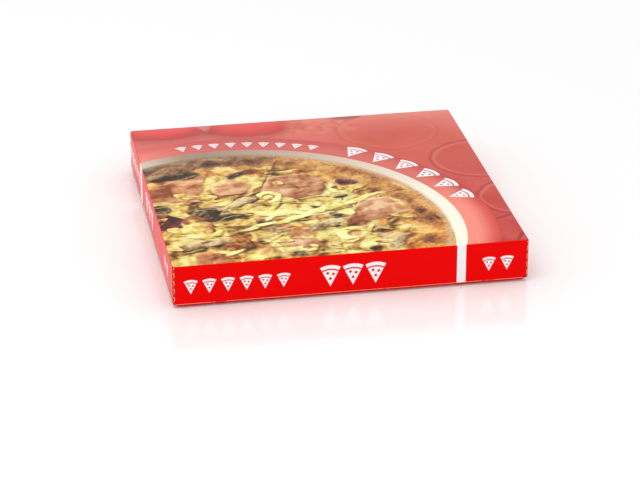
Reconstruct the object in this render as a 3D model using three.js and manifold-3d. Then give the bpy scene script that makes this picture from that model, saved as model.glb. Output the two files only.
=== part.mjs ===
// A shut pizza carton of folded corrugated board: a glossy printed lid pulled down over a dull red tray.
// Millimetres, +Z up. The origin is at the centre of the underside, and the front wall faces -Y.

import * as THREE from 'three';
import { mergeVertices } from 'three/addons/utils/BufferGeometryUtils.js';
import Module from 'manifold-3d';

const wasm = await Module();
wasm.setup();

// Driving dimensions
const BOX_SIDE = 330; // outer width and depth, over the lid's walls
const BOX_HEIGHT = 42; // from the table to the top of the lid
const BOARD = 3; // thickness of the corrugated board
const FIT_GAP = 0.3; // free space between the lid and the tray
const FOLD_RADIUS = 1.5; // outside of a creased fold, round the top panel and under the tray
const CORNER_CUT = 2; // what the raw corner takes off each of the two walls that meet there
const TRAY_SHOWING = 2.8; // height of the tray that shows under the lid's walls
const CUT_EDGE_BEVEL = 1.2; // how far the die crushes the cut edge of a wall
const FOLD_STEPS = 5; // facets across a fold

// Worked out from them
const LID_HALF = BOX_SIDE / 2;
const LID_INNER_HALF = LID_HALF - BOARD;
const LID_INNER_TOP = BOX_HEIGHT - BOARD;
const TRAY_HALF = LID_INNER_HALF - FIT_GAP;
const TRAY_TOP = LID_INNER_TOP - FIT_GAP;

// One level of a carton: its height, half its side, and what is cut off each corner there.
function level(z, half, cut) {
	return { z, half, cut };
}

// The square outline of a level with its corners cut, anticlockwise seen from above.
function outline({ half, cut }) {
	const short = half - cut;
	return [
		[short, -half], [half, -short],
		[half, short], [short, half],
		[-short, half], [-half, short],
		[-half, -short], [-short, -half],
	];
}

// A closed body through a stack of levels, lowest first.
function cartonGeometry(levels) {
	const rings = levels.map((each) => outline(each));
	const sides = rings[0].length;
	const vertices = levels.flatMap(({ z }, i) => rings[i].flatMap(([x, y]) => [x, y, z]));
	const triangles = [];
	for (let i = 0; i + 1 < levels.length; i++) {
		for (let j = 0; j < sides; j++) {
			const a = i * sides + j;
			const b = i * sides + (j + 1) % sides;
			triangles.push(a, b, b + sides, a, b + sides, a + sides);
		}
	}
	const top = (levels.length - 1) * sides;
	for (let j = 1; j + 1 < sides; j++) {
		triangles.push(0, j + 1, j, top, top + j, top + j + 1);
	}
	const geometry = new THREE.BufferGeometry();
	geometry.setAttribute('position', new THREE.Float32BufferAttribute(vertices, 3));
	geometry.setIndex(triangles);
	return geometry;
}

// Levels round a fold of the board, from the flat panel (angle 0) to the upright wall, or back.
function foldLevels(zWall, half, direction) {
	const levels = [];
	for (let i = 0; i <= FOLD_STEPS; i++) {
		const angle = (i / FOLD_STEPS) * Math.PI / 2;
		const rise = FOLD_RADIUS * Math.sin(angle);
		const inset = FOLD_RADIUS * (1 - Math.cos(angle));
		levels.push(level(zWall + direction * rise, half - inset, CORNER_CUT));
	}
	return direction > 0 ? levels : levels.reverse();
}

function toManifold(geometry) {
	const bare = geometry.clone();
	bare.deleteAttribute('normal');
	bare.deleteAttribute('uv');
	const merged = mergeVertices(bare, 1e-4);
	return new wasm.Manifold(new wasm.Mesh({
		numProp: 3,
		vertProperties: new Float32Array(merged.attributes.position.array),
		triVerts: new Uint32Array(merged.index.array),
	}));
}

function fromManifold(solid) {
	const mesh = solid.getMesh();
	const geometry = new THREE.BufferGeometry();
	geometry.setAttribute('position', new THREE.BufferAttribute(mesh.vertProperties, 3));
	geometry.setIndex(new THREE.BufferAttribute(mesh.triVerts, 1));
	geometry.computeVertexNormals();
	return geometry;
}

// The lid: a cap of one board's thickness, open below, its folds rounded along the top edges
// and its cut edge bevelled all round the bottom.
function lidGeometry() {
	const shell = toManifold(cartonGeometry([
		level(TRAY_SHOWING, LID_HALF - CUT_EDGE_BEVEL, CORNER_CUT),
		level(TRAY_SHOWING + CUT_EDGE_BEVEL, LID_HALF, CORNER_CUT),
		...foldLevels(BOX_HEIGHT - FOLD_RADIUS, LID_HALF, 1),
	]));
	const below = level(TRAY_SHOWING - BOARD, LID_INNER_HALF, CORNER_CUT);
	const inside = toManifold(cartonGeometry([below, { ...below, z: LID_INNER_TOP }]));
	return fromManifold(shell.subtract(inside));
}

// The tray: shut and never seen into, so it is solid up to the underside of the lid.
function trayGeometry() {
	return cartonGeometry([
		...foldLevels(FOLD_RADIUS, TRAY_HALF, -1),
		level(TRAY_TOP, TRAY_HALF, CORNER_CUT),
	]);
}

function piece(name, geometry, finish) {
	const mesh = new THREE.Mesh(geometry, new THREE.MeshStandardMaterial(finish));
	mesh.name = name;
	return mesh;
}

const LAMINATED_PRINT = { color: 0xe30d0d, roughness: 0.2, metalness: 0 };
const UNCOATED_PRINT = { color: 0xbc3a32, roughness: 0.7, metalness: 0 };

const pizzaBox = new THREE.Group();
pizzaBox.add(piece('lid', lidGeometry(), LAMINATED_PRINT));
pizzaBox.add(piece('tray', trayGeometry(), UNCOATED_PRINT));

export default pizzaBox;
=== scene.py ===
"""The looks of a shut pizza box: printed lid, corrugated board edges and dull red tray, on a pale floor."""

import math
from contextlib import contextmanager
from functools import reduce

import bmesh
import bpy
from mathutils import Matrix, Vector


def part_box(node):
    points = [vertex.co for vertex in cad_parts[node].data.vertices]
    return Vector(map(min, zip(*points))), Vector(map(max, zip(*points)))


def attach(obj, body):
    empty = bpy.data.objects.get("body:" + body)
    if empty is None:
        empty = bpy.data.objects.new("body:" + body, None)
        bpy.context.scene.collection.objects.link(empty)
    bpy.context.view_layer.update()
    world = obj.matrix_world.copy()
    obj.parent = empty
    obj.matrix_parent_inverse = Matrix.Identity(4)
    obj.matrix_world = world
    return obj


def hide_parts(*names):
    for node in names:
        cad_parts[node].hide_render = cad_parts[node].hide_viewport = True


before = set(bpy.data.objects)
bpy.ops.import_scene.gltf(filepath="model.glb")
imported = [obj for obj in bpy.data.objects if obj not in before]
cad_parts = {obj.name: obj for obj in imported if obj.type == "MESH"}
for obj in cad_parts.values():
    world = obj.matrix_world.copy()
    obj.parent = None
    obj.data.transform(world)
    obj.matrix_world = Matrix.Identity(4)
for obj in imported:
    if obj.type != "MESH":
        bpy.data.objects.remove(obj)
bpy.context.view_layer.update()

MM = 0.001
NEAR = MM / 100  # places this close are the same

# ---------------------------------------------------------------- sizes, from the frame
lid_low, lid_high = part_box("lid")
tray_low, tray_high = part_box("tray")
HALF = lid_high.x                      # half the lid's outer width
TOP = lid_high.z                       # top of the lid
RIM = lid_low.z                        # lowest edge of the lid's walls
FIT_GAP = 0.3 * MM                     # free space between the lid and the tray
BOARD = HALF - tray_high.x - FIT_GAP   # thickness of the lid's board
ROOM_INSIDE = 2 * (HALF - BOARD)       # between two walls of the lid
CORNER_CUT = 2 * MM                    # what the raw corner takes off each wall
FOLD = 1.5 * MM                        # radius of a creased fold
FOLD_STEPS = 6
EDGE_BEVEL = 1.2 * MM                  # how far the die crushes the walls' cut edge

LINER = 0.35 * MM                      # one paper sheet of the board
INNER_FOLD = 0.5 * MM                  # radius of the inner sheet's folds
INNER_FOLD_STEPS = 3
FLUTE = 8 * MM                         # length of one wave of the corrugated middle
FLUTE_PAPER = 0.4 * MM                 # thickness of the corrugated sheet
FLUTE_SETBACK = 0.08 * MM              # the sheet sits this far inside the board's middle
FLUTE_MIDDLE = HALF - BOARD / 2 - FLUTE_SETBACK
FLUTE_REACH = 0.82 * MM                # from the wave's middle to its crest
CREST_PULL = 1.5                       # crests are first pulled this many times too far, and smoothed back
FLUTE_OVERLAP = 0.5 * MM               # the side walls' waves are this much longer than the room inside
PANEL_GRID = 15 * MM                   # size of the squares that the panels are cut into
WARP = 0.25 * MM                       # how far a panel strays inwards from flat
WARP_SIZE = 90 * MM                    # size of the dents and swells
PICTURE_TURN = 0.5 * MM                # how far down the folds the lid's picture goes
LIP = 0.8 * MM                         # how far the walls' cut edge is rolled in
LIP_ROOM = 1.5 * LINER                 # what the waves leave free over the rolled edge


# ---------------------------------------------------------------- modelling by hand
def deselect():
    bpy.ops.object.select_all(action="DESELECT")


def take(piece):
    """Selects one piece and nothing else."""
    deselect()
    bpy.context.view_layer.objects.active = piece
    piece.select_set(True)


@contextmanager
def editing(piece, kind="FACE"):
    """Edit mode on one piece, with nothing of it selected."""
    take(piece)
    bpy.ops.object.mode_set(mode="EDIT")
    bpy.ops.mesh.select_mode(type=kind)
    bpy.ops.mesh.select_all(action="DESELECT")
    yield bmesh.from_edit_mesh(piece.data)
    bpy.ops.object.mode_set(mode="OBJECT")


def choose(mesh, elements, wanted):
    """Selects the faces, edges or vertices that are wanted."""
    for each in elements:
        if wanted(each):
            each.select_set(True)
    mesh.select_flush_mode()


def block(name, low, high):
    """A box between two corners, as a start."""
    deselect()
    middle = (Vector(low) + Vector(high)) / 2
    bpy.ops.mesh.primitive_cube_add(size=1, location=middle, scale=Vector(high) - Vector(low))
    piece = bpy.context.object
    piece.name = piece.data.name = name
    place(piece)
    return piece


def place(piece):
    """Puts the piece's place into its mesh, so that its object is at the origin."""
    take(piece)
    bpy.ops.object.transform_apply(location=True, rotation=True, scale=True)


def apply(piece, kind, **settings):
    """Adds a modifier and applies it."""
    take(piece)
    modifier = piece.modifiers.new(kind.title(), kind)
    for key, value in settings.items():
        setattr(modifier, key, value)
    bpy.ops.object.modifier_apply(modifier=modifier.name)


def smooth(piece, degrees=35):
    """Rounds the shading over edges that are flatter than this."""
    take(piece)
    bpy.ops.object.shade_smooth_by_angle(angle=math.radians(degrees))


def finished(piece, slot, *materials, replaces=()):
    """Gives a piece the materials that it still lacks and its body, and hides the parts that it replaces;
    the slot is not used.
    """
    for material in materials:
        piece.data.materials.append(material)
    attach(piece, "root")
    if replaces:
        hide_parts(*replaces)


def is_upright(edge):
    """Whether an edge stands straight up, longer than a millimetre."""
    a, b = (vertex.co for vertex in edge.verts)
    return abs(a.z - b.z) > MM and (a.xy - b.xy).length < NEAR


def is_level_at(edge, z):
    """Whether an edge lies at a height."""
    return all(abs(vertex.co.z - z) < NEAR for vertex in edge.verts)


def is_on_wall(edge, outwards):
    """Whether an edge lies in the outside of the lid's wall that looks this way."""
    return all(abs(vertex.co.xy.dot(outwards) - HALF) < NEAR for vertex in edge.verts)


def is_raw_corner(face):
    """Whether a face is one of the four that cut off the upright corners, half way between two walls."""
    normal = face.normal
    return abs(abs(normal.x) - abs(normal.y)) < 0.01 and abs(normal.z) < 0.01


def open_below(piece):
    """Takes out the face under a block."""
    with editing(piece) as mesh:
        choose(mesh, mesh.faces, lambda face: face.normal.z < -0.5)
        bpy.ops.mesh.delete(type="ONLY_FACE")


def cut_corners(piece):
    """Cuts off the four upright edges."""
    with editing(piece, "EDGE") as mesh:
        choose(mesh, mesh.edges, is_upright)
        bpy.ops.mesh.bevel(offset=CORNER_CUT, segments=1)


def round_fold(piece, z, radius, steps):
    """Rounds the edges at a height."""
    with editing(piece, "EDGE") as mesh:
        choose(mesh, mesh.edges, lambda edge: is_level_at(edge, z))
        bpy.ops.mesh.bevel(offset=radius, segments=steps)


def cover(piece, slot_number, wanted):
    """Gives the wanted faces the material in one of the piece's slots."""
    with editing(piece) as mesh:
        choose(mesh, mesh.faces, wanted)
        piece.active_material_index = slot_number
        bpy.ops.object.material_slot_assign()


def grid_cuts(piece):
    """Cuts the panels into squares, so that they can stray from flat."""
    count = int(HALF // PANEL_GRID)
    for axis in (0, 1):
        normal = [0, 0, 0]
        normal[axis] = 1
        for step in range(-count, count + 1):
            point = [0, 0, 0]
            point[axis] = step * PANEL_GRID
            with editing(piece):
                bpy.ops.mesh.select_all(action="SELECT")
                bpy.ops.mesh.bisect(plane_co=point, plane_no=normal)


# ---------------------------------------------------------------- the lid's sheets and the tray
def outer_liner(walls, picture, lip, back, edge):
    """The printed sheet: top panel, four folds and four walls, open at the raw corners.

    It takes a material each for its walls, picture, rolled lip, hidden back and cut edge.
    """
    z_low = RIM + EDGE_BEVEL
    liner = block("lid_printed_liner", (-HALF, -HALF, z_low), (HALF, HALF, TOP))
    papers = (walls, picture, lip, back, edge)
    for paper in papers:
        liner.data.materials.append(paper)
    open_below(liner)
    cut_corners(liner)
    round_fold(liner, TOP, FOLD, FOLD_STEPS)
    with editing(liner) as mesh:
        choose(mesh, mesh.faces, is_raw_corner)
        bpy.ops.mesh.delete(type="FACE")
    cover(liner, papers.index(picture), lambda face: face.calc_center_median().z > TOP - PICTURE_TURN)
    narrower = 1 - LIP / HALF
    # The lip is rolled in wall by wall, so that its faces come in the same order each run.
    for wall in ((0, -1), (1, 0), (0, 1), (-1, 0)):
        with editing(liner, "EDGE") as mesh:
            choose(mesh, mesh.edges, lambda edge: is_level_at(edge, z_low) and is_on_wall(edge, wall))
            bpy.ops.mesh.extrude_region_move(TRANSFORM_OT_translate={"value": (0, 0, -LIP)})
            bpy.ops.transform.resize(value=(narrower, narrower, 1), center_override=(0, 0, 0))
    cover(liner, papers.index(lip), lambda face: face.calc_center_median().z < z_low)
    grid_cuts(liner)
    ripple = bpy.data.textures.new("panel_ripple", "CLOUDS")
    ripple.noise_scale = WARP_SIZE
    apply(liner, "DISPLACE", texture=ripple, strength=WARP, mid_level=1.0, texture_coords="LOCAL")
    # The offsets count on from each face's own material and stop at the last, so that they are right
    # for the walls, and the hidden back of the top and the lip takes the cut edge's material.
    apply(liner, "SOLIDIFY", thickness=LINER, offset=-1, use_even_offset=True,
          material_offset=papers.index(back), material_offset_rim=papers.index(edge))
    smooth(liner)
    finished(liner, "printed_board", replaces=["lid"])


def inner_liner(paper):
    """The plain sheet inside the lid."""
    half = HALF - BOARD + LINER
    top = TOP - BOARD + LINER
    liner = block("lid_inner_liner", (-half, -half, RIM), (half, half, top))
    open_below(liner)
    cut_corners(liner)
    round_fold(liner, top, INNER_FOLD, INNER_FOLD_STEPS)
    apply(liner, "SOLIDIFY", thickness=LINER, offset=-1, use_even_offset=True)
    smooth(liner)
    finished(liner, "plain_board", paper)


def wavy_sheet(name, length, height, waves_along):
    """A corrugated sheet in the XZ plane, its waves counted along its length or up its height."""
    quarter = FLUTE / 4
    columns = round(length / quarter) if waves_along else 1
    rows = 1 if waves_along else round(height / quarter)
    deselect()
    bpy.ops.mesh.primitive_grid_add(x_subdivisions=columns, y_subdivisions=rows, size=1,
                                    rotation=(math.radians(90), 0, 0))
    sheet = bpy.context.object
    sheet.name = sheet.data.name = name
    sheet.scale = (length, height, 1)
    place(sheet)

    def quarters(vertex):
        """How many quarter waves a vertex is from where the waves start."""
        along = vertex.co.x + length / 2 if waves_along else vertex.co.z + height / 2
        return round(along / quarter)

    for side, crest in ((1, 1), (-1, 3)):
        with editing(sheet, "VERT") as mesh:
            choose(mesh, mesh.verts, lambda vertex: quarters(vertex) % 4 == crest)
            bpy.ops.transform.translate(value=(0, side * FLUTE_REACH * CREST_PULL, 0))
    apply(sheet, "SUBSURF", levels=2, render_levels=2, boundary_smooth="PRESERVE_CORNERS")
    return sheet


def cut_away(sheet, point, outwards):
    """Cuts off what lies outside a plane."""
    with editing(sheet):
        bpy.ops.mesh.select_all(action="SELECT")
        bpy.ops.mesh.bisect(plane_co=point, plane_no=outwards, clear_outer=True)


def wall_flutes(name, turn, waves_along, length, hollow, cut):
    """The corrugated middle of one wall, modelled in the front wall's place and turned to its own.

    It takes the material seen in the hollows and the one of its cut edges.
    """
    height = TOP - FOLD - RIM
    sheet = wavy_sheet(name, length, height, waves_along)
    sheet.location = (0, -FLUTE_MIDDLE, RIM + height / 2)
    place(sheet)
    cut_away(sheet, (0, -HALF, RIM + EDGE_BEVEL + LIP_ROOM), (0, -1, -1))
    for side in (-1, 1):
        cut_away(sheet, (side * HALF, -HALF + CORNER_CUT, 0), (side, -1, 0))
        cut_away(sheet, (side * (HALF - LINER - FLUTE_PAPER / 2), 0, 0), (side, 0, 0))
    sheet.data.materials.append(hollow)
    sheet.data.materials.append(cut)
    apply(sheet, "SOLIDIFY", thickness=FLUTE_PAPER, offset=0, material_offset_rim=1)
    smooth(sheet, degrees=50)
    sheet.rotation_euler.z = math.radians(turn)
    place(sheet)
    finished(sheet, "plain_board")


def tray(paper):
    """The tray, shut under the lid, with rounded folds round its underside."""
    piece = block("tray_board", tray_low, tray_high)
    cut_corners(piece)
    round_fold(piece, 0, FOLD, FOLD_STEPS)
    smooth(piece)
    finished(piece, "tray_board", paper, replaces=["tray"])


# ---------------------------------------------------------------- paint
def linear(value):
    """A 0-255 screen value as light."""
    share = value / 255
    return share / 12.92 if share <= 0.04045 else ((share + 0.055) / 1.055) ** 2.4


def ink(red, green, blue):
    """A 0-255 screen colour as light."""
    return (linear(red), linear(green), linear(blue), 1.0)


class Wire:
    """A socket, so that sums with it are written as Python."""

    def __init__(self, paint, socket):
        self.paint, self.socket = paint, socket

    def __add__(self, other):
        return self.paint.sum("ADD", self, other)

    def __sub__(self, other):
        return self.paint.sum("SUBTRACT", self, other)

    def __rsub__(self, other):
        return self.paint.sum("SUBTRACT", other, self)

    def __mul__(self, other):
        return self.paint.sum("MULTIPLY", self, other)

    def __truediv__(self, other):
        return self.paint.sum("DIVIDE", self, other)

    def __rtruediv__(self, other):
        return self.paint.sum("DIVIDE", other, self)

    def __neg__(self):
        return self.paint.sum("MULTIPLY", self, -1)

    def __abs__(self):
        return self.paint.sum("ABSOLUTE", self)

    __radd__ = __add__
    __rmul__ = __mul__


class Paint:
    """A new material, and the nodes it is built from."""

    SEED_STEP = (31.0, 17.0, 7.0)  # how far apart in the noise the warps of two seeds lie
    SHARE, FIRST, SECOND, MIXED = 0, 6, 7, 2  # a Mix node's sockets for colours

    def __init__(self, name):
        self.material = bpy.data.materials.new(name)
        self.material.use_nodes = True
        self.tree = self.material.node_tree
        self.shader = self.tree.nodes["Principled BSDF"]
        self.point = self.node("ShaderNodeTexCoord", {}, {}, "Object")

    def node(self, kind, settings, inputs, output=0):
        """Any node: its settings first, then the values or links of its sockets."""
        made = self.tree.nodes.new(kind)
        for key, value in settings.items():
            if key == "stops":
                self._stops(made.color_ramp, value)
            else:
                setattr(made, key, value)
        for key, value in inputs.items():
            self.feed(made.inputs[key], value)
        return Wire(self, made.outputs[output])

    @staticmethod
    def _stops(ramp, stops):
        """Gives a ramp its stops, each a position and a colour."""
        while len(ramp.elements) < len(stops):
            ramp.elements.new(0.5)
        for element, (position, colour) in zip(ramp.elements, stops):
            element.position = position
            element.color = colour

    def feed(self, socket, value):
        """Links a wire to a socket, or sets the socket to a value."""
        if isinstance(value, Wire):
            self.tree.links.new(value.socket, socket)
        else:
            socket.default_value = value

    def sum(self, operation, *values):
        """A Math node."""
        return self.node("ShaderNodeMath", {"operation": operation}, dict(enumerate(values)))

    def least(self, *values):
        return reduce(lambda first, second: self.sum("MINIMUM", first, second), values)

    def most(self, *values):
        return reduce(lambda first, second: self.sum("MAXIMUM", first, second), values)

    def vector(self, operation, *values, output=0):
        """A Vector Math node."""
        return self.node("ShaderNodeVectorMath", {"operation": operation}, dict(enumerate(values)), output)

    def distance(self, point, centre):
        return self.vector("DISTANCE", point, centre, output="Value")

    def fade(self, value, low, high):
        """From 0 at low to 1 at high, smooth between and level beyond. Low may be the greater."""
        inputs = {"Value": value, "From Min": low, "From Max": high}
        return self.node("ShaderNodeMapRange", {"interpolation_type": "SMOOTHSTEP"}, inputs)

    def mix(self, share, first, second, blend="MIX"):
        """A share of the second colour over the first."""
        settings = {"data_type": "RGBA", "blend_type": blend}
        inputs = {self.SHARE: share, self.FIRST: first, self.SECOND: second}
        return self.node("ShaderNodeMix", settings, inputs, self.MIXED)

    def ramp(self, value, *stops):
        """The colour at a value, from stops that are each a position and a colour."""
        return self.node("ShaderNodeValToRGB", {"stops": stops}, {"Fac": value}, "Color")

    def noise(self, point, size, detail=2.0, roughness=0.5, output="Fac"):
        """Soft noise round 0.5, with patches of about that size."""
        inputs = {"Vector": point, "Scale": 1 / size, "Detail": detail, "Roughness": roughness}
        return self.node("ShaderNodeTexNoise", {"noise_dimensions": "3D"}, inputs, output)

    def cells(self, point, size, feature="F1", output="Distance"):
        """Uneven cells: a distance in each, or a colour for each."""
        inputs = {"Vector": point, "Scale": 1 / size}
        return self.node("ShaderNodeTexVoronoi", {"feature": feature}, inputs, output)

    def warp(self, point, size, reach, seed):
        """The point, pushed about by a noise of that size, by up to about that reach."""
        shifted = self.vector("ADD", point, tuple(step * seed for step in self.SEED_STEP))
        push = self.noise(shifted, size, output="Color")
        push = self.vector("SUBTRACT", push, (0.5, 0.5, 0.5))
        return self.vector("MULTIPLY_ADD", push, (2 * reach, 2 * reach, 0), point)

    def apart(self, kind, value, *names):
        """The named outputs of a node that takes a value apart."""
        made = self.node(kind, {}, {0: value}).socket.node
        return [Wire(self, made.outputs[name]) for name in names]

    def xyz(self, point):
        """A point's x, y and z."""
        return self.apart("ShaderNodeSeparateXYZ", point, "X", "Y", "Z")

    def finish(self, colour, roughness, normal=None, **constants):
        """Feeds the shader, and returns the material. Any other constant has its socket's name."""
        self.feed(self.shader.inputs["Base Color"], colour)
        self.feed(self.shader.inputs["Roughness"], roughness)
        if normal is not None:
            self.feed(self.shader.inputs["Normal"], normal)
        for name, value in constants.items():
            self.shader.inputs[name].default_value = value
        return self.material

    def bump(self, height, distance):
        """A normal that follows a height, in which 1 stands for this distance."""
        return self.node("ShaderNodeBump", {}, {"Height": height, "Distance": distance}, "Normal")


# ---------------------------------------------------------------- the print
# Places and sizes on the print are in millimetres, those on the lid from its front left corner.
# A shape that turns has its turn last, in degrees anticlockwise.
VEIL = 0.040                 # what the laminate adds to the inks by reflecting the room
STUDIO_LIGHT = 1.07          # the light that falls on the lid
LEAST_INK = 0.002            # the darkest that an ink gets


def under_gloss(red, green, blue):
    """An ink that looks like this 0-255 screen value in the studio, through the laminate's reflection."""
    light = [max(linear(value) - VEIL, LEAST_INK) / STUDIO_LIGHT for value in (red, green, blue)]
    return (*light, 1.0)


# Each food's inks, from its darkest tone to its lightest.
CHEESE = (
    (0.22, under_gloss(82, 62, 44)), (0.33, under_gloss(146, 112, 66)), (0.43, under_gloss(208, 174, 98)),
    (0.52, under_gloss(238, 214, 128)), (0.64, under_gloss(253, 246, 168)),
)
MEAT = (
    (0.24, under_gloss(96, 64, 46)), (0.37, under_gloss(160, 106, 64)), (0.48, under_gloss(208, 144, 88)),
    (0.58, under_gloss(234, 184, 122)), (0.70, under_gloss(250, 224, 164)),
)
CRUST = (
    (0.18, under_gloss(92, 62, 50)), (0.32, under_gloss(148, 98, 70)), (0.46, under_gloss(192, 130, 80)),
    (0.60, under_gloss(220, 164, 98)), (0.78, under_gloss(246, 208, 144)),
)
SMOKED_CRUST = (
    (0.18, under_gloss(72, 58, 60)), (0.34, under_gloss(112, 84, 74)), (0.50, under_gloss(154, 122, 98)),
    (0.72, under_gloss(204, 174, 134)),
)
GRILLED = (
    (0.30, under_gloss(140, 80, 50)), (0.46, under_gloss(206, 138, 74)), (0.66, under_gloss(246, 204, 116)),
)
HAM = (
    (0.26, under_gloss(146, 90, 62)), (0.40, under_gloss(190, 128, 92)), (0.54, under_gloss(216, 162, 120)),
    (0.72, under_gloss(244, 208, 166)),
)
SALAMI = (
    (0.30, under_gloss(82, 52, 50)), (0.50, under_gloss(122, 74, 66)), (0.70, under_gloss(176, 116, 98)),
)
OLIVE = (
    (0.34, under_gloss(72, 60, 46)), (0.52, under_gloss(98, 82, 62)), (0.68, under_gloss(158, 142, 108)),
)
MUSHROOM = (
    (0.28, under_gloss(128, 102, 70)), (0.46, under_gloss(184, 158, 114)),
    (0.68, under_gloss(230, 212, 168)),
)
PEPPER = (
    (0.28, under_gloss(150, 70, 40)), (0.46, under_gloss(206, 106, 58)), (0.64, under_gloss(242, 168, 104)),
)
STRAND = (
    (0.34, under_gloss(226, 208, 112)), (0.50, under_gloss(250, 242, 154)),
    (0.66, under_gloss(254, 252, 186)),
)
DARK_GAP = under_gloss(106, 64, 38)
RIM_GOLDEN = under_gloss(224, 184, 138)
RIM_GREY = under_gloss(158, 140, 114)
LIT = (0.34, 0.28, 0.14, 1.0)       # what the painted light adds to the slopes that face it
SHADED = (0.36, 0.24, 0.14, 1.0)    # what it leaves of the slopes that face away
BAKED = (1.0, 0.87, 0.86, 1.0)      # what baking leaves of the toppings' light near the crust
GOLDEN = (1.16, 1.06, 0.84, 1.0)    # how much more golden the crust is at the front
WARMER = (1.04, 0.92, 0.80, 1.0)    # how much warmer the toppings are on the left

# The pizza and its plate: their middle, and the radii of their edges.
PLATE = (80.0, 60.0, 0.0)
CRUST_INNER_EDGE = 159.0
PIZZA_EDGE = 186.0
PLATE_EDGE = 200.7
HALO_EDGE = 231.0

# How the foods are painted.
TOWARDS_LIGHT = (-1.0, 2.0, 0.0)    # a step across the pizza towards the painted light
FOOD_EDGE = 2.4                     # how wide a food's edge slopes, to each side
TOPPING = 21.0                      # size of a cut piece of topping
TOPPING_LUMPS = 19                  # size of the lumps on them
POOL_LEVEL = 0.562                  # the pools of cheese are where their noise is above this
POOL_SIZE = 34                      # size of the pools
POOL_SLOPE = 130                    # millimetres over which that noise would change by 1
CRUST_LUMPS = 9                     # size of the lumps on the crust
CRUMBS = 3.2                        # and of its crumbs
TOPPING_SEED = 1                    # which noise gives the tone of the toppings
CRUST_SEED = 3                      # and of the crust
FIRST_FOOD_SEED = 5                 # and of the laid foods, from the lowest on

# Corners of the ham that is cut in slices.
HAM_SLICES = (
    ((-8, 148), (44, 140), (60, 208), (-8, 176)),
    ((170, 62), (236, 84), (222, 121), (194, 117)),
    ((92, 28), (142, 20), (138, 40), (108, 46)),
    ((20, -8), (58, -8), (50, 22), (26, 26)),
)
# Ovals: middle, half length, half width and turn.
HAM_ROUNDS = ((139, 161, 31, 29, 0), (78, 166, 20, 15, 25))
SALAMI_ROUNDS = ((4, 98, 24, 18, -20), (194, 166, 15, 11, 30))
MUSHROOMS = (
    (84, 132, 17, 7, 35), (34, 44, 26, 7, 12), (150, 66, 26, 7, 24), (190, 52, 13, 6, -15),
    (108, 62, 15, 6, -20), (62, 120, 14, 7, -12), (214, 20, 18, 6, 50),
)
OLIVES = (
    (24, 204, 30, 11, 6), (46, 114, 17, 10, -15), (62, 99, 20, 7, 6), (98, 80, 10, 6, -15),
    (168, 88, 10, 5, -45), (177, 130, 8, 5, 15), (150, 108, 8, 4, -10), (4, 128, 12, 10, -30),
    (88, 197, 12, 6, 35), (26, 30, 13, 3, 20), (118, 8, 9, 4, -20), (188, 8, 8, 5, 15),
)
PEPPERS = (
    (92, 44, 13, 4, 25), (62, 34, 9, 4, -15), (160, 18, 12, 4, 15), (206, 62, 8, 4, 60),
    (128, 60, 9, 3, -10), (36, 12, 10, 4, 35), (70, 150, 9, 3, 20), (150, 136, 8, 3, -25),
)
BURNT = (
    (56, 226, 22, 7, 10), (112, 232, 15, 5, -12), (246, 92, 6, 20, 12), (146, 216, 14, 5, -20),
    (256, 56, 7, 22, -4), (232, 142, 5, 16, 30), (240, 18, 10, 12, 0), (200, 188, 12, 5, -50),
)
# Strands of melted cheese: open rings by middle, radius, half width and the turn of the open side,
# and strokes by their ends and half width.
STRAND_RINGS = (
    (110, 138, 11, 3.4, 215), (38, 74, 15, 4.0, 60), (176, 42, 12, 4.4, 300), (128, 22, 7, 2.4, 100),
)
STRAND_STROKES = (
    (121, 138, 106, 104, 3.4), (92, 104, 130, 100, 7.0), (112, 104, 148, 93, 3.4), (84, 112, 106, 98, 3.0),
    (112, 100, 100, 84, 2.8), (134, 95, 182, 112, 4.6), (174, 108, 216, 131, 3.8),
    (146, 96, 106, 76, 4.4), (114, 82, 72, 66, 3.2), (22, 92, 38, 60, 3.0),
    (92, 46, 106, 12, 3.0), (196, 62, 186, 38, 2.4), (52, 16, 70, 26, 2.6),
)
# Strokes where the pizza is cut.
CUTS = ((134, 226, 118, 196, 1.0), (119, 198, 106, 158, 1.0), (218, 128, 248, 136, 0.8))

# The tones of the plate and of the halo round it, by the angle at their middle. A half turn is 1, and
# straight to the right is TO_THE_RIGHT.
TO_THE_RIGHT = 0.2
PLATE_TONES = (
    (0.15, under_gloss(253, 251, 231)), (0.30, under_gloss(252, 246, 228)),
    (0.45, under_gloss(233, 214, 193)), (0.58, under_gloss(205, 181, 162)),
    (0.72, under_gloss(170, 146, 128)), (0.76, under_gloss(172, 149, 130)),
    (0.87, under_gloss(238, 224, 200)),
)
HALO_NEAR = (
    (0.24, under_gloss(254, 151, 136)), (0.36, under_gloss(222, 122, 112)),
    (0.70, under_gloss(216, 112, 108)), (0.76, under_gloss(224, 119, 112)),
    (0.84, under_gloss(252, 150, 136)),
)
HALO_FAR = (
    (0.22, under_gloss(220, 92, 86)), (0.30, under_gloss(198, 80, 78)), (0.50, under_gloss(206, 100, 94)),
    (0.72, under_gloss(206, 104, 98)), (0.84, under_gloss(234, 118, 110)),
)

# The ground behind them.
GROUND_FRONT = under_gloss(196, 75, 73)
GROUND_BACK = under_gloss(226, 124, 116)
GROUND_WARM = under_gloss(212, 104, 90)
GROUND_CLOUD = under_gloss(228, 124, 110)
GROUND_BACK_EDGE = under_gloss(238, 154, 138)
WARM_PATCH = (262, 232, 70, 62, 0)
TOMATOES = ((118, 352, 60, 60, 0), (30, 352, 56, 56, 0))
TOMATO_SKIN = under_gloss(234, 98, 93)
TOMATO_EDGE = under_gloss(200, 84, 84)
GLINT = ((75, 312), (84, 331), (66, 331))
GLINT_PINK = under_gloss(228, 150, 148)
CRUMB_HEAP = ((158, 292), (226, 290), (238, 340), (162, 340))
CRUMB_TONES = ((0.38, under_gloss(214, 110, 98)), (0.64, under_gloss(237, 144, 124)))
DARK_SPOT = (222, 327, 15, 6, 0)
DARK_SPOT_INK = under_gloss(158, 96, 92)
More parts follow.
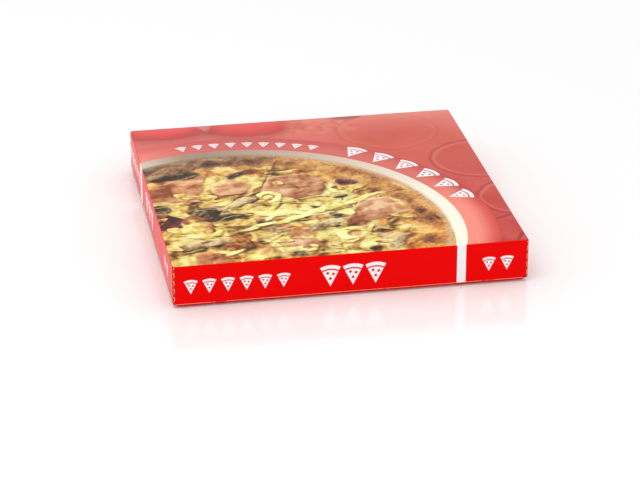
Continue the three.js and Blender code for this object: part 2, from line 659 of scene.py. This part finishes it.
# Faint round slices: middle, radius and strength.
SLICES = ((330, 198, 46, 0.4), (346, 98, 38, 0.45), (255, 282, 47, 0.13))
SLICE_FLESH = under_gloss(200, 84, 76)
SLICE_RIM = under_gloss(232, 132, 122)
SLICE_SHADE = under_gloss(156, 62, 62)
DARK_STROKES = ((308, 50, 330, 60, 1.6), (320, 2, 331, 22, 1.8))
DARK_STROKE_INK = under_gloss(148, 56, 56)

# The marks and the walls.
WALL_RED = ink(240, 6, 6)
WALL_WHITE = ink(246, 246, 248)
MARK_WHITE = under_gloss(250, 250, 250)
MARK_SPREAD = math.radians(27)  # half the angle at the point of a wedge mark
# In parts of a wedge mark's size: its three toppings' places from its point and their radius, and how
# far from its point the line of its crust is, and half that line's width.
MARK_DOTS = ((0.0, 0.36), (-0.12, 0.62), (0.13, 0.57))
MARK_DOT = 0.065
MARK_CRUST = 0.8
MARK_LINE = 0.035
# Rows of wedge marks round the plate: first angle, step, number, radius of the points, size.
ROUND_ROWS = ((10.0, 7.8, 6, 205.5, 24.0), (62.0, 4.4, 9, 208.0, 12.0))
# Rows of wedge marks along a wall: start, step, number, height of the points, size.
FRONT_ROWS = ((8.0, 17.0, 6, 13.5, 14.0), (134.0, 21.0, 3, 10.5, 21.0), (284.0, 17.0, 2, 13.5, 14.0))
LEFT_ROWS = ((248.0, 16.0, 5, 13.5, 14.0), (140.0, 21.0, 3, 10.5, 21.0), (30.0, 17.0, 2, 13.5, 14.0))
FRONT_STRIPE = (266.6, 4.15)  # middle and half width of the white stripe on the front wall
LEFT_STRIPE = (237.1, 7.1)    # the same on the left wall
LID_SIDE = 2 * HALF / MM      # the lid's width
WALL_DEPTH = 10               # a wall's print stays this near to it, off the other walls


class Picture(Paint):
    """Paint with the flat shapes that a print is made of."""

    SLAB_ROUNDING = 2.5  # how round the corners of a slab are
    RING_ROUNDING = 4.0  # how round the ends of an open ring are
    RING_OPENING = 0.55  # how far from its middle a ring is cut open, in parts of its radius
    LAYER_STEP = 53.0    # how far apart in the noise the tones of two seeds lie

    def oval(self, point, oval):
        """Roughly the distance in mm outside an oval (negative inside)."""
        x, y, long, short, turn = oval
        if turn:
            inputs = {"Vector": point, "Center": (x, y, 0), "Angle": math.radians(-turn)}
            point = self.node("ShaderNodeVectorRotate", {"rotation_type": "Z_AXIS"}, inputs)
        local = self.vector("MULTIPLY_ADD", point, (1 / long, 1 / short, 0), (-x / long, -y / short, 0))
        return (self.vector("LENGTH", local, output="Value") - 1) * short

    def slab(self, point, corners):
        """Distance in mm outside a convex shape, its corners anticlockwise."""
        result = None
        for (x1, y1), (x2, y2) in zip(corners, corners[1:] + corners[:1]):
            outwards = Vector((y2 - y1, x1 - x2, 0)).normalized()
            side = self.vector("DOT_PRODUCT", point, outwards, output="Value") - outwards.dot((x1, y1, 0))
            result = side if result is None else self.sum("SMOOTH_MAX", result, side, self.SLAB_ROUNDING)
        return result

    def ring(self, point, ring):
        """Distance in mm outside an open ring."""
        x, y, radius, half_width, turn = ring
        band = abs(self.distance(point, (x, y, 0)) - radius) - half_width
        opening = Vector((math.cos(math.radians(turn)), math.sin(math.radians(turn)), 0))
        side = self.vector("DOT_PRODUCT", point, opening, output="Value") - opening.dot((x, y, 0))
        return self.sum("SMOOTH_MAX", band, side - radius * self.RING_OPENING, self.RING_ROUNDING)

    def stroke(self, point, stroke):
        """Distance in mm outside a straight stroke with pointed ends."""
        x1, y1, x2, y2, half_width = stroke
        length = math.dist((x1, y1), (x2, y2)) / 2
        turn = math.degrees(math.atan2(y2 - y1, x2 - x1))
        return self.oval(point, ((x1 + x2) / 2, (y1 + y2) / 2, length, half_width, turn))

    def all_of(self, shape, point, places):
        """Distance in mm outside all shapes of a kind."""
        return self.least(*(shape(point, place) for place in places))

    def kneaded(self, point, size, seed):
        """An uneven tone round 0.5: patches, lumps on them, and light from the back left."""
        own = self.vector("ADD", point, (0, 0, self.LAYER_STEP * seed))
        patches = self.noise(own, size * 2.5, 1)
        lumps = self.noise(own, size)
        beyond = self.noise(self.vector("ADD", own, (-size / 6, size / 6, 0)), size)
        return patches * 0.7 + lumps * 0.5 + (lumps - beyond) - 0.1

    def lay(self, below, distance, colour, shadow, reach=3.5, edge=1.0):
        """Lays a shape on the picture: first its soft shadow, then its colour."""
        around = self.fade(distance, reach, 0.0) * shadow
        below = self.mix(around, below, DARK_GAP)
        return self.mix(self.fade(distance, edge, -edge), below, colour)


def wedge_mark(paint, across, up, size):
    """Distance in mm outside a plain wedge of pizza with a crust and three toppings, its point at 0, 0."""
    spot = paint.node("ShaderNodeCombineXYZ", {}, {"X": across, "Y": up})
    away = paint.vector("LENGTH", spot, output="Value")
    side = abs(across) * math.cos(MARK_SPREAD) - up * math.sin(MARK_SPREAD)
    crust_line = size * MARK_LINE - abs(away - size * MARK_CRUST)
    dots = (size * MARK_DOT - paint.distance(spot, (x * size, y * size, 0)) for x, y in MARK_DOTS)
    return paint.most(side, away - size, crust_line, *dots)


def row_of_marks(paint, along, up, step, count, size):
    """Distance in mm outside a row of wedge marks, which starts where along is 0."""
    turn = along / step
    across = (paint.sum("FRACT", turn) - 0.5) * step
    beyond = (abs(turn - count / 2) - count / 2) * step
    return paint.most(wedge_mark(paint, across, up, size), beyond)


def toppings(paint, point, reach):
    """Melted cheese and cut meat side by side, darker where the pieces meet, grilled near the crust."""
    pieces = paint.cells(point, TOPPING, output="Color")
    darker, meatier = paint.apart("ShaderNodeSeparateColor", pieces, "Red", "Green")
    tone = paint.kneaded(point, TOPPING_LUMPS, TOPPING_SEED) + darker * 0.14 - 0.07
    _, y, _ = paint.xyz(point)
    kind = paint.noise(point, 32) + meatier * 0.2 - 0.1 + paint.fade(y, 60, 10) * 0.03
    colour = paint.mix(paint.fade(kind, 0.51, 0.58), paint.ramp(tone, *CHEESE), paint.ramp(tone, *MEAT))
    grilled = paint.fade(reach, CRUST_INNER_EDGE - 26, CRUST_INNER_EDGE - 4) * paint.fade(kind, 0.40, 0.50)
    colour = paint.mix(grilled, colour, paint.ramp(tone, *GRILLED))
    meeting = paint.cells(point, TOPPING, "DISTANCE_TO_EDGE")
    return paint.mix(paint.fade(meeting, 0.12, 0.0) * 0.25, colour, DARK_GAP)


def melted_pools(paint, point, ham):
    """Distance in mm outside the pools of cheese, which are fewer on the ham and near the crust."""
    stretched = paint.vector("MULTIPLY", point, (0.7, 1.25, 1))
    near_crust = paint.fade(paint.distance(point, PLATE), 120, CRUST_INNER_EDGE)
    level = POOL_LEVEL + paint.fade(ham, 3, -3) * 0.06 + near_crust * 0.05
    return (level - paint.noise(stretched, POOL_SIZE, 1.6)) * POOL_SLOPE


def strands(paint, point):
    """Distance in mm outside the melted strands, whose rings and strokes flow together."""
    rings = paint.all_of(paint.ring, point, STRAND_RINGS)
    strokes = paint.all_of(paint.stroke, point, STRAND_STROKES)
    return paint.sum("SMOOTH_MIN", rings, strokes, 3.0)


def loose_edges(paint, flat):
    """The pizza's places, pushed about as melted and cooked foods are."""
    return paint.warp(paint.warp(flat, 24, 7, 1), 9, 2.2, 2)


def crisp_edges(paint, flat):
    """The same, less pushed about, for cut foods."""
    return paint.warp(paint.warp(flat, 22, 4, 3), 6, 1.2, 4)


def laid_foods(paint, flat):
    """What lies on the toppings, lowest first: inks, size of the lumps, thickness, distance outside it."""
    loose = loose_edges(paint, flat)
    crisp = crisp_edges(paint, flat)
    ham = paint.least(paint.all_of(paint.oval, crisp, HAM_ROUNDS),
                      paint.all_of(paint.slab, crisp, HAM_SLICES))
    return (
        (MUSHROOM, 13, 1.2, paint.all_of(paint.oval, loose, MUSHROOMS)),
        (PEPPER, 9, 0.8, paint.all_of(paint.oval, loose, PEPPERS)),
        (SALAMI, 12, 0.8, paint.all_of(paint.oval, crisp, SALAMI_ROUNDS)),
        (HAM, 22, 1.2, ham),
        (CHEESE, 17, 1.0, melted_pools(paint, loose, ham)),
        (OLIVE, 9, 0.8, paint.all_of(paint.oval, loose, OLIVES)),
        (STRAND, 11, 1.2, strands(paint, crisp)),
    )


def height_of(paint, foods):
    """How high the foods stack up, with rounded edges."""
    heights = [paint.fade(outside, FOOD_EDGE, -FOOD_EDGE) * thickness for _, _, thickness, outside in foods]
    return sum(heights[1:], start=heights[0])


def crust(paint, flat, point, reach):
    """Baked dough: paler and more golden to the right and the front, with burnt places, rim and crumbs."""
    x, y, _ = paint.xyz(flat)
    lumps = paint.kneaded(point, CRUST_LUMPS, CRUST_SEED)
    browned = paint.noise(point, 26)
    burnt = paint.fade(paint.all_of(paint.oval, point, BURNT), 7, -7)
    tone = lumps * 0.4 + browned * 1.1 - 0.31 + paint.fade(x, 60, 170) * 0.12 - burnt * 0.17
    smoked = paint.fade(x, 170, 60) * 0.75
    dough = paint.mix(smoked, paint.ramp(tone, *CRUST), paint.ramp(tone, *SMOKED_CRUST))
    dough = paint.mix(paint.fade(y, 110, 30), dough, GOLDEN, "MULTIPLY")
    rim = paint.mix(paint.fade(x, 90, 180), RIM_GREY, RIM_GOLDEN)
    dough = paint.mix(paint.fade(reach, PIZZA_EDGE - 8, PIZZA_EDGE - 1) * 0.8, dough, rim)
    crumbs = paint.noise(flat, CRUMBS, 3, 0.7)
    dough = paint.mix(paint.fade(crumbs, 0.52, 0.70) * 0.4, dough, LIT, "ADD")
    return paint.mix(paint.fade(crumbs, 0.48, 0.30) * 0.7, dough, SHADED, "MULTIPLY")


def pizza(paint, flat):
    """A pizza seen from above: toppings, the foods laid on them, painted light, crust and cuts."""
    point = loose_edges(paint, flat)
    reach = paint.distance(flat, PLATE) + paint.noise(flat, 16, 3, 0.6) * 18 - 9
    colour = toppings(paint, point, reach)
    foods = laid_foods(paint, flat)
    foods_beyond = laid_foods(paint, paint.vector("ADD", flat, TOWARDS_LIGHT))
    light = height_of(paint, foods) - height_of(paint, foods_beyond)
    x, _, _ = paint.xyz(flat)
    on_the_left = paint.fade(x, 120, 20)
    for seed, (inks, lumps, _, distance) in enumerate(foods, FIRST_FOOD_SEED):
        tone = paint.kneaded(point, lumps, seed) - on_the_left * 0.06
        colour = paint.lay(colour, distance, paint.ramp(tone, *inks), shadow=0.12)
    colour = paint.mix(paint.fade(light, 0.05, 1.2), colour, LIT, "ADD")
    colour = paint.mix(paint.fade(-light, 0.05, 1.0), colour, SHADED, "MULTIPLY")
    colour = paint.mix(paint.fade(x, 150, 30) * 0.8, colour, WARMER, "MULTIPLY")
    baked = paint.fade(reach, CRUST_INNER_EDGE - 34, CRUST_INNER_EDGE - 6)
    colour = paint.mix(baked * 0.85, colour, BAKED, "MULTIPLY")
    on_the_crust = paint.fade(reach, CRUST_INNER_EDGE - 5, CRUST_INNER_EDGE + 5)
    colour = paint.mix(on_the_crust, colour, crust(paint, flat, point, reach))
    cuts = paint.all_of(paint.stroke, paint.warp(flat, 22, 4, 3), CUTS)
    return paint.mix(paint.fade(cuts, 0.8, -0.8) * 0.75, colour, DARK_GAP)


def backdrop(paint, flat):
    """The lid's ground: reds, paler towards the back, under faint tomatoes, crumbs and round slices."""
    soft = paint.warp(flat, 60, 8, 5)
    _, y, _ = paint.xyz(flat)
    ground = paint.mix(paint.fade(y, 60, 330), GROUND_FRONT, GROUND_BACK)
    ground = paint.mix(paint.fade(paint.oval(soft, WARM_PATCH), 24, -24), ground, GROUND_WARM)
    ground = paint.mix(paint.fade(paint.noise(flat, 38, 3), 0.35, 0.75) * 0.35, ground, GROUND_CLOUD)
    ground = paint.mix(paint.fade(y, 300, 330) * 0.5, ground, GROUND_BACK_EDGE)
    for tomato in TOMATOES:
        outside = paint.oval(soft, tomato)
        skin = paint.mix(paint.fade(outside, -26, 0), TOMATO_SKIN, TOMATO_EDGE)
        ground = paint.lay(ground, outside, skin, shadow=0.3, reach=18, edge=2.5)
    ground = paint.mix(paint.fade(paint.slab(flat, GLINT), 3, -3) * 0.6, ground, GLINT_PINK)
    crumbs = paint.ramp(paint.noise(soft, 15, 3), *CRUMB_TONES)
    ground = paint.mix(paint.fade(paint.slab(soft, CRUMB_HEAP), 10, -10) * 0.7, ground, crumbs)
    ground = paint.mix(paint.fade(paint.oval(soft, DARK_SPOT), 2, -2) * 0.8, ground, DARK_SPOT_INK)
    for x, y, radius, strength in SLICES:
        outside = paint.distance(soft, (x, y, 0)) - radius
        ground = paint.mix(paint.fade(outside, 1, -9) * strength, ground, SLICE_FLESH)
        ground = paint.mix(paint.fade(abs(outside + 2), 2.4, 0.2) * strength, ground, SLICE_RIM)
        ground = paint.mix(paint.fade(abs(outside - 2), 3.0, 0.4) * strength, ground, SLICE_SHADE)
    for stroke in DARK_STROKES:
        ground = paint.mix(paint.fade(paint.stroke(flat, stroke), 1, -1) * 0.7, ground, DARK_STROKE_INK)
    return ground


def lid_top(paint, flat):
    """The picture on the top panel: a pizza on a pale plate in the front left corner, and a pink halo."""
    radius = paint.distance(flat, PLATE)
    x, y, _ = paint.xyz(flat)
    angle = paint.sum("ARCTAN2", y - PLATE[1], x - PLATE[0])
    way_round = angle / math.pi + TO_THE_RIGHT
    plate, near, far = (paint.ramp(way_round, *tones) for tones in (PLATE_TONES, HALO_NEAR, HALO_FAR))
    halo = paint.mix(paint.fade(radius, PLATE_EDGE + 8, HALO_EDGE), near, far)
    colour = paint.mix(paint.fade(radius, HALO_EDGE + 1.5, HALO_EDGE - 1.5), backdrop(paint, flat), halo)
    colour = paint.mix(paint.fade(radius, PLATE_EDGE + 0.5, PLATE_EDGE - 0.5), colour, plate)
    shade = paint.mix(paint.fade(radius, PIZZA_EDGE + 4, PIZZA_EDGE) * 0.2, colour, DARK_GAP)
    colour = paint.mix(paint.fade(radius, PLATE_EDGE, PLATE_EDGE - 1), colour, shade)
    edge = radius + paint.noise(flat, 22) * 5 - 2.5 - paint.fade(y, 60, 0) * 5
    colour = paint.mix(paint.fade(edge, PIZZA_EDGE + 0.8, PIZZA_EDGE - 0.8), colour, pizza(paint, flat))
    rows = []
    for first, step, count, points, size in ROUND_ROWS:
        middle = points + size / 2
        along = (angle - math.radians(first)) * middle
        rows.append(row_of_marks(paint, along, radius - points, math.radians(step) * middle, count, size))
    return paint.mix(paint.fade(paint.least(*rows), 0.3, -0.3), colour, MARK_WHITE)


def wall_print(paint, height, along, inwards, rows, stripe=None):
    """1 where a wall is white: its rows of marks and its stripe, if it has one."""
    shapes = [row_of_marks(paint, along - start, height - points, step, count, size)
              for start, step, count, points, size in rows]
    if stripe:
        middle, half_width = stripe
        shapes.append(abs(along - middle) - half_width)
    white = paint.fade(paint.least(*shapes), 0.25, -0.25)
    return white * paint.fade(inwards, WALL_DEPTH, WALL_DEPTH - 1)


def lid_coordinates(paint):
    """Millimetres to the right and back from the lid's front left corner, and up from the floor."""
    return paint.vector("MULTIPLY_ADD", paint.point, (1 / MM, 1 / MM, 1 / MM), (HALF / MM, HALF / MM, 0))


# ---------------------------------------------------------------- papers and films
PICTURE_FILM = 1.18          # refractive index of the film on the picture
WALL_FILM = 1.1              # and of the film on the walls, which shines less
TRAY_PRINT = 1.25            # and of the tray's print, which has no film
FILM_RELIEF = 0.02 * MM      # how far the flutes and the grain lift the film
PAPER_RELIEF = 0.08 * MM     # how far the fibres stand out of cut paper and of the walls' lip
SHEET_RELIEF = 0.06 * MM     # and out of a flat sheet, with the flutes under it
FIBRE = 1.2 * MM             # length of the paper's fibres
LONG_FIBRE = 1.5 * MM
FIBRES_ALONG = (1, 3, 3)     # on a flat sheet they run along X


def waves(paint, distance):
    """The board's waves over a distance, from -1 to 1."""
    return paint.sum("SINE", distance * (2 * math.pi / FLUTE))


def fibres(paint, point, length=FIBRE):
    """The tone of paper fibres, from 0 to 1."""
    return paint.noise(point, length, 3, 0.7)


def laminated(paint, colour, film):
    """The gloss film on the print, faintly ribbed by the flutes below it."""
    _, y, _ = paint.xyz(paint.point)
    grain = paint.noise(paint.point, 1.2 * MM)
    smear = paint.noise(paint.point, 60 * MM, 3)
    relief = paint.bump(waves(paint, y) * 0.5 + grain * 0.3, FILM_RELIEF)
    return paint.finish(colour, 0.13 + smear * 0.1, relief, IOR=film)


def lid_picture():
    """The print on the top panel, under its gloss laminate."""
    paint = Picture("lid_picture")
    flat = paint.vector("MULTIPLY", lid_coordinates(paint), (1, 1, 0))
    return laminated(paint, lid_top(paint, flat), PICTURE_FILM)


def red_walls():
    """The walls' red print with its white stripes and marks, under the same laminate."""
    paint = Picture("red_walls")
    x, y, height = paint.xyz(lid_coordinates(paint))
    white = paint.most(
        wall_print(paint, height, x, y, FRONT_ROWS, FRONT_STRIPE),
        wall_print(paint, height, y, x, LEFT_ROWS, LEFT_STRIPE),
        wall_print(paint, height, y, LID_SIDE - x, FRONT_ROWS),
        wall_print(paint, height, LID_SIDE - x, LID_SIDE - y, FRONT_ROWS))
    return laminated(paint, paint.mix(white, WALL_RED, WALL_WHITE), WALL_FILM)


def cut_paper(name, dark, pale):
    """The fibrous edge of cut paper."""
    paint = Paint(name)
    fibre = fibres(paint, paint.point)
    return paint.finish(paint.mix(fibre, dark, pale), 0.8, paint.bump(fibre, PAPER_RELIEF))


def hollow_paper():
    """Red paper inside the board, with painted light and shade: pale pink at the heights of the front and
    back flutes' crests, darker red between them.
    """
    paint = Paint("hollow_paper")
    _, _, height = paint.xyz(paint.point)
    fibre = fibres(paint, paint.point, LONG_FIBRE)
    # Painted light: the crests are pale, as where light falls on them, and tinted pink by painted red light
    # from the print. The darker red between them is painted shade.
    crests = paint.mix(fibre, ink(255, 136, 104), ink(255, 172, 138))
    colour = paint.mix(paint.fade(-waves(paint, height - RIM), -0.4, 0.4), ink(236, 62, 42), crests)
    return paint.finish(colour, 0.9, paint.bump(fibre, PAPER_RELIEF))


def lip_paper_and_highlight():
    """The rolled-in lip of the walls: pale paper of the crushed cut edge, paler still as a painted
    highlight, with red print in places.
    """
    paint = Paint("lip_paper_and_highlight")
    fibre = fibres(paint, paint.point)
    # Painted highlight: the lip's paper is made pale, as where light catches the crushed edge.
    pale = paint.mix(fibre, ink(255, 166, 132), ink(255, 214, 176))
    left = paint.noise(paint.vector("MULTIPLY", paint.point, (1, 1, 0)), 16 * MM, 3, 0.6)
    colour = paint.mix(paint.fade(left, 0.42, 0.36), pale, ink(186, 26, 20))
    return paint.finish(colour, 0.7, paint.bump(fibre, PAPER_RELIEF))


def sheet_of_paper(paint, patch, ribs, dark, pale):
    """A flat sheet's colour, its fibres, and its relief with the flutes that show through."""
    x, _, _ = paint.xyz(paint.point)
    flutes = waves(paint, x)
    fibre = fibres(paint, paint.vector("MULTIPLY", paint.point, FIBRES_ALONG))
    tone = paint.noise(paint.point, patch, 4) * 0.5 + fibre * 0.5 + flutes * ribs
    return paint.mix(tone, dark, pale), fibre, paint.bump(flutes + fibre, SHEET_RELIEF)


def tray_print():
    """Dull red print on uncoated board, faintly ribbed by the flutes, rubbed paler here and there."""
    paint = Paint("tray_print")
    colour, fibre, relief = sheet_of_paper(paint, 30 * MM, 0.08, ink(226, 34, 30), ink(246, 56, 48))
    rubbed = paint.fade(paint.noise(paint.point, 8 * MM, 4, 0.65), 0.64, 0.74)
    colour = paint.mix(rubbed * 0.4, colour, ink(226, 140, 116))
    return paint.finish(colour, 0.55 + fibre * 0.2, relief, IOR=TRAY_PRINT)


def kraft_paper():
    """Unprinted brown paper, with fibres, dark flecks and the faint lines of the flutes under it."""
    paint = Paint("kraft_paper")
    colour, _, relief = sheet_of_paper(paint, 20 * MM, 0.06, ink(172, 122, 80), ink(212, 166, 120))
    flecks = paint.fade(paint.noise(paint.point, 3 * MM), 0.68, 0.76)
    return paint.finish(paint.mix(flecks * 0.5, colour, ink(122, 82, 54)), 0.8, relief)


# ---------------------------------------------------------------- the pieces
kraft = kraft_paper()
hollow = hollow_paper()
# Pale paper tinted orange-pink. The tint is painted light: the red print's light thrown onto the cut edges.
cut = cut_paper("cut_paper", ink(255, 134, 104), ink(255, 186, 156))
cut_print = cut_paper("cut_print", ink(214, 40, 32), ink(246, 84, 66))

outer_liner(red_walls(), lid_picture(), lip_paper_and_highlight(), hollow, cut_print)
inner_liner(kraft)
for name, turn in (("front", 0), ("back", 180)):
    wall_flutes(f"lid_flutes_{name}", turn, False, 2 * HALF, hollow, cut)
for name, turn in (("right", 90), ("left", -90)):
    wall_flutes(f"lid_flutes_{name}", turn, True, ROOM_INSIDE + FLUTE_OVERLAP, hollow, cut)
tray(tray_print())


# ---------------------------------------------------------------- floor, light and camera, in metres
FLOOR_SIZE = 12
FLOOR_DROP = 0.2 * MM        # the floor lies this far below the box, so that the two don't share a plane
SKY_LIGHT = 0.95
SOFTBOX_PLACE = (-0.8, -0.6, 2.2)
SOFTBOX_SIZE = 1.6
SOFTBOX_POWER = 14           # in watts
EYE = (-0.4134, -2.2550, 1.0267)
HEADING = -10.39             # degrees that the camera is turned from straight at the front wall
DOWN = 24.52                 # degrees that it looks down
SENSOR_WIDTH = 36            # in millimetres, as the focal length is
FOCAL_LENGTH = 145.65


def pale_floor():
    """A plain floor, a little glossy."""
    paint = Paint("pale_floor")
    material = paint.finish(ink(244, 244, 244), 0.15)
    deselect()
    bpy.ops.mesh.primitive_plane_add(size=FLOOR_SIZE, location=(0, 0, -FLOOR_DROP))
    floor = bpy.context.object
    floor.name = "floor"
    floor.data.materials.append(material)


def soft_light(name, position, size, power):
    """A square soft light that looks at the box."""
    lamp = bpy.data.lights.new(name, "AREA")
    lamp.size = size
    lamp.energy = power
    light = bpy.data.objects.new(name, lamp)
    bpy.context.scene.collection.objects.link(light)
    light.location = position
    light.rotation_euler = (-Vector(position)).to_track_quat("-Z", "Y").to_euler()


def studio():
    """White light from all round, and one softbox over the box."""
    world = bpy.data.worlds.new("white_studio")
    bpy.context.scene.world = world
    world.use_nodes = True
    sky = world.node_tree.nodes["Background"]
    sky.inputs["Color"].default_value = (1.0, 1.0, 1.0, 1.0)
    sky.inputs["Strength"].default_value = SKY_LIGHT
    soft_light("overhead_softbox", SOFTBOX_PLACE, SOFTBOX_SIZE, SOFTBOX_POWER)
    bpy.context.scene.view_settings.view_transform = "Standard"


def camera():
    """At the height and angle that shows the lid, the front wall and a little of the left one."""
    lens = bpy.data.cameras.new("camera")
    lens.sensor_width = SENSOR_WIDTH
    lens.lens = FOCAL_LENGTH
    eye = bpy.data.objects.new("camera", lens)
    bpy.context.scene.collection.objects.link(eye)
    eye.location = EYE
    eye.rotation_euler = (math.radians(90 - DOWN), 0, math.radians(HEADING))
    bpy.context.scene.camera = eye


pale_floor()
studio()
camera()
